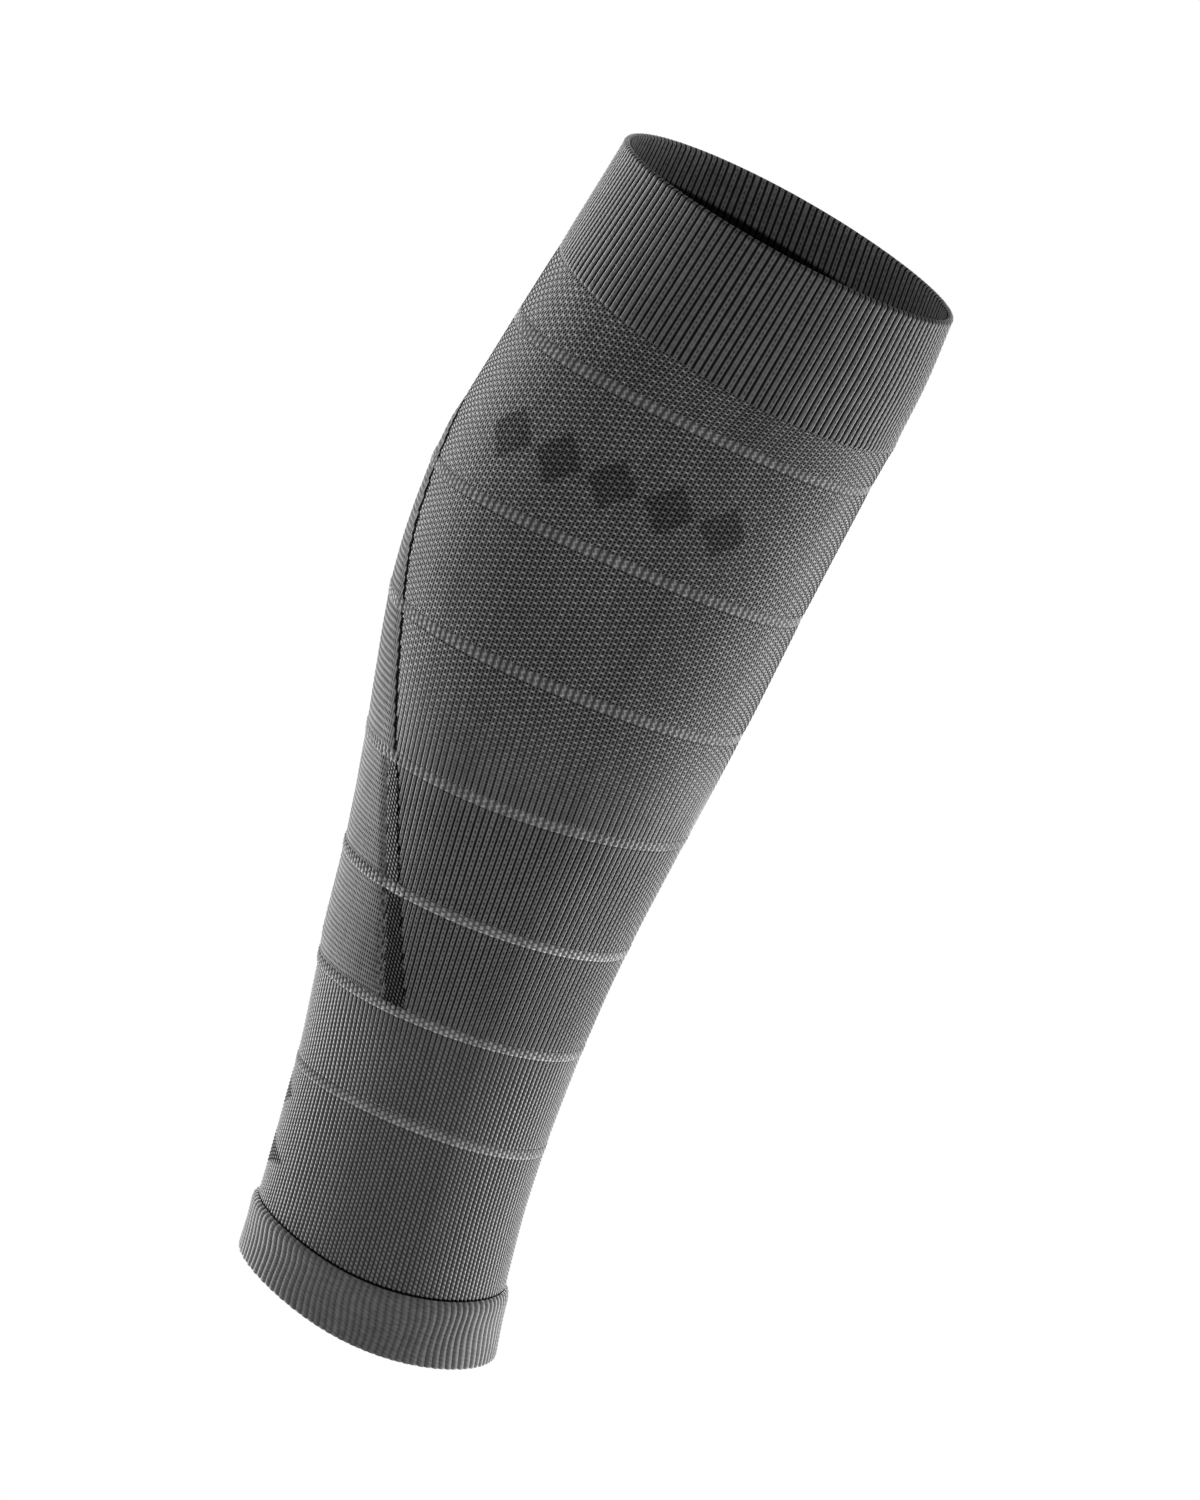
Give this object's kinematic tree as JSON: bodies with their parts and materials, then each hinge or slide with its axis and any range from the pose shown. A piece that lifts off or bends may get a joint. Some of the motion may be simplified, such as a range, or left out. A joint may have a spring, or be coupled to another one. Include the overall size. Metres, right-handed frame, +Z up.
{
  "type": "calf compression sleeve",
  "caption": "Knitted tube worn from below the knee to the ankle, with ribbed end cuffs, a calf panel and pale rings.",
  "frame": {"origin": "on the leg's axis, level with the widest part of the calf", "axes": "+Z up the leg towards the knee, -Y at the shin, +Y at the calf, -X at the outer side of a right leg"},
  "size_m": [0.112, 0.1276, 0.3608],
  "materials": {
    "rib_knit": "matte ribbed knit, mid grey",
    "body_knit": "matte fine ribbed knit, mid grey",
    "panel_knit": "matte dense knit, lighter grey",
    "gusset_knit": "matte dense knit, dark grey",
    "pale_yarn": "slightly bright yarn, light grey"
  },
  "bodies": {
    "root": {"top_cuff": "rib_knit", "leg_tube": "body_knit", "calf_panel": "panel_knit", "gusset_outer": "gusset_knit", "gusset_inner": "gusset_knit", "reflective_ring_1": "pale_yarn", "reflective_ring_2": "pale_yarn", "reflective_ring_3": "pale_yarn", "reflective_ring_4": "pale_yarn", "reflective_ring_5": "pale_yarn", "reflective_ring_6": "pale_yarn", "reflective_ring_7": "pale_yarn", "bottom_cuff": "rib_knit"}
  },
  "joints": []
}
